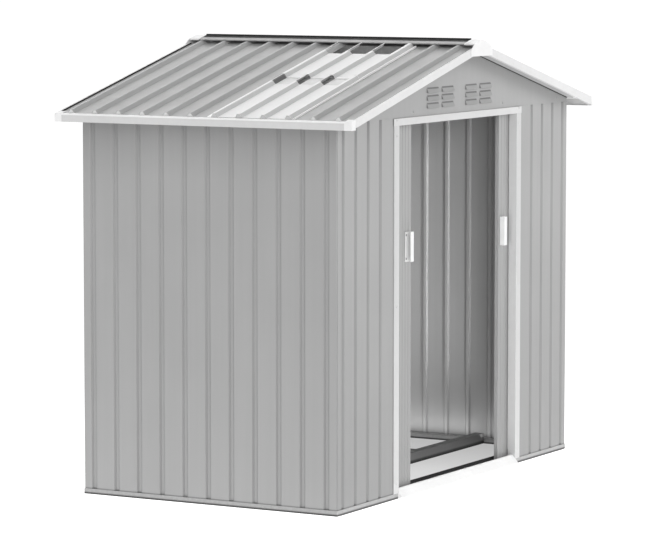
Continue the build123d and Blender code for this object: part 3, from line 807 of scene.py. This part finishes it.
def make_floor():
    """Large pale floor that glows a little, so that it stays as white as the photo's; its glow is
    stronger in a painted pool of light round the shed and weaker inside it, as painted shade.
    """
    data = bpy.data.meshes.new("floor")
    h = FLOOR_HALF
    data.from_pydata([(-h, -h, 0), (h, -h, 0), (h, h, 0), (-h, h, 0)], [], [(0, 1, 2, 3)])
    floor = bpy.data.objects.new("floor", data)
    bpy.context.scene.collection.objects.link(floor)
    material, tree, shader = new_material("floor_white", 0.9)
    shader.inputs["Base Color"].default_value = (FLOOR_TONE, FLOOR_TONE, FLOOR_TONE, 1.0)
    shader.inputs["Specular IOR Level"].default_value = 0.0
    shader.inputs["Emission Color"].default_value = (1.0, 1.0, 1.0, 1.0)
    place = add(tree, "ShaderNodeTexCoord").outputs["Object"]
    folded = add(tree, "ShaderNodeVectorMath", {0: place}, operation="ABSOLUTE").outputs[0]
    scaled = add(tree, "ShaderNodeVectorMath", {0: folded, 1: (side_face, back_face, 1.0)},
                 operation="DIVIDE").outputs[0]
    parts = add(tree, "ShaderNodeSeparateXYZ", {0: scaled}).outputs
    reach = add(tree, "ShaderNodeMath", {0: parts[0], 1: parts[1]}, operation="MAXIMUM").outputs[0]
    pool = spread(tree, reach, FLOOR_POOL, FLOOR_GLOW, *FLOOR_POOL_REACH)
    across = add(tree, "ShaderNodeSeparateXYZ", {0: place}).outputs["X"]
    shade = spread(tree, across, FLOOR_SHADE_LEFT, FLOOR_SHADE_RIGHT, *FLOOR_SHADE_SPAN)
    under = add(tree, "ShaderNodeMath", {0: reach, 1: FLOOR_INSIDE}, operation="LESS_THAN").outputs[0]
    inside = add(tree, "ShaderNodeMix", {0: under, 2: 1.0, 3: shade}).outputs[0]
    tree.links.new(times(tree, pool, inside), shader.inputs["Emission Strength"])
    data.materials.append(material)


def soft_light(name, toward, strength, width):
    """Broad far light that comes from a direction, with its width in degrees."""
    lamp = bpy.data.lights.new(name, "SUN")
    lamp.energy = strength * math.pi
    lamp.angle = math.radians(width)
    holder = bpy.data.objects.new(name, lamp)
    holder.rotation_euler = Vector(toward).to_track_quat("Z", "Y").to_euler()
    bpy.context.scene.collection.objects.link(holder)


def panel_light(name, centre, toward, size, power, beam):
    """Small soft panel that shines one way and can't be seen, with its beam in degrees."""
    lamp = bpy.data.lights.new(name, "AREA")
    lamp.shape = "RECTANGLE"
    lamp.size, lamp.size_y = size
    lamp.energy = power
    lamp.spread = math.radians(beam)
    holder = bpy.data.objects.new(name, lamp)
    holder.location = centre
    holder.rotation_euler = Vector(toward).to_track_quat("-Z", "Y").to_euler()
    holder.visible_camera = False
    bpy.context.scene.collection.objects.link(holder)


def make_light():
    """Dim sky, fills from both front corners, a top key, a rim from behind and small glows."""
    world = bpy.data.worlds.new("studio")
    world.use_nodes = True
    background = world.node_tree.nodes["Background"]
    background.inputs["Color"].default_value = (1.0, 1.0, 1.0, 1.0)
    background.inputs["Strength"].default_value = SKY
    bpy.context.scene.world = world
    soft_light("left_fill", toward=(-0.72, -0.62, 0.30), strength=LEFT_FILL, width=40)
    soft_light("right_fill", toward=(0.45, -0.85, 0.28), strength=RIGHT_FILL, width=40)
    soft_light("top_key", toward=(-0.5, 0.1, 0.86), strength=TOP_KEY, width=50)
    soft_light("back_rim", toward=(0.725, 0.485, 0.489), strength=BACK_RIM, width=60)
    panel_light("doorway_glow", centre=(-0.03, -0.25, 0.80), toward=(0.76, 0.65, 0.0),
                size=(0.50, 1.20), power=DOORWAY_GLOW, beam=45)
    panel_light("door_side_glow", centre=(0.75, -0.45, 0.85), toward=(0.25, 0.97, 0.0),
                size=(0.1, 1.15), power=DOOR_SIDE_GLOW, beam=60)
    panel_light("foot_glow", centre=(0.93, 0.05, 0.035), toward=(0.5, 0.0, 0.87),
                size=(0.9, 0.03), power=FOOT_GLOW, beam=160)
    panel_light("jamb_glow", centre=(-0.42, -0.60, 0.75), toward=(0.98, 0.03, 0.0),
                size=(0.03, 1.35), power=JAMB_GLOW, beam=20)
    panel_light("right_glow", centre=(1.3, -1.9, 0.75), toward=(-0.2, 0.9, 0.3),
                size=(0.8, 1.3), power=RIGHT_GLOW, beam=180)
    panel_light("overhang_glow", centre=(0.35, -1.35, 0.95), toward=(0.45, 0.62, 0.42),
                size=(0.5, 0.5), power=OVERHANG_GLOW, beam=60)
    panel_light("sill_glow", centre=(0.0, -0.95, 0.16), toward=(0.0, 0.95, -0.32),
                size=(1.0, 0.04), power=SILL_GLOW, beam=30)


def make_camera():
    """Long lens from the left, in front of the doorway side."""
    lens = bpy.data.cameras.new("camera")
    lens.sensor_width = SENSOR
    lens.sensor_fit = "HORIZONTAL"
    lens.lens = SENSOR * FOCAL_SHARE
    lens.clip_end = 2000.0
    camera = bpy.data.objects.new("camera", lens)
    camera.location = CAMERA_PLACE
    camera.rotation_euler = (math.pi / 2 - CAMERA_DOWN, 0.0, CAMERA_TURN)
    bpy.context.scene.collection.objects.link(camera)
    bpy.context.scene.camera = camera


make_floor()
make_light()
make_camera()
bpy.context.scene.view_settings.view_transform = "Standard"
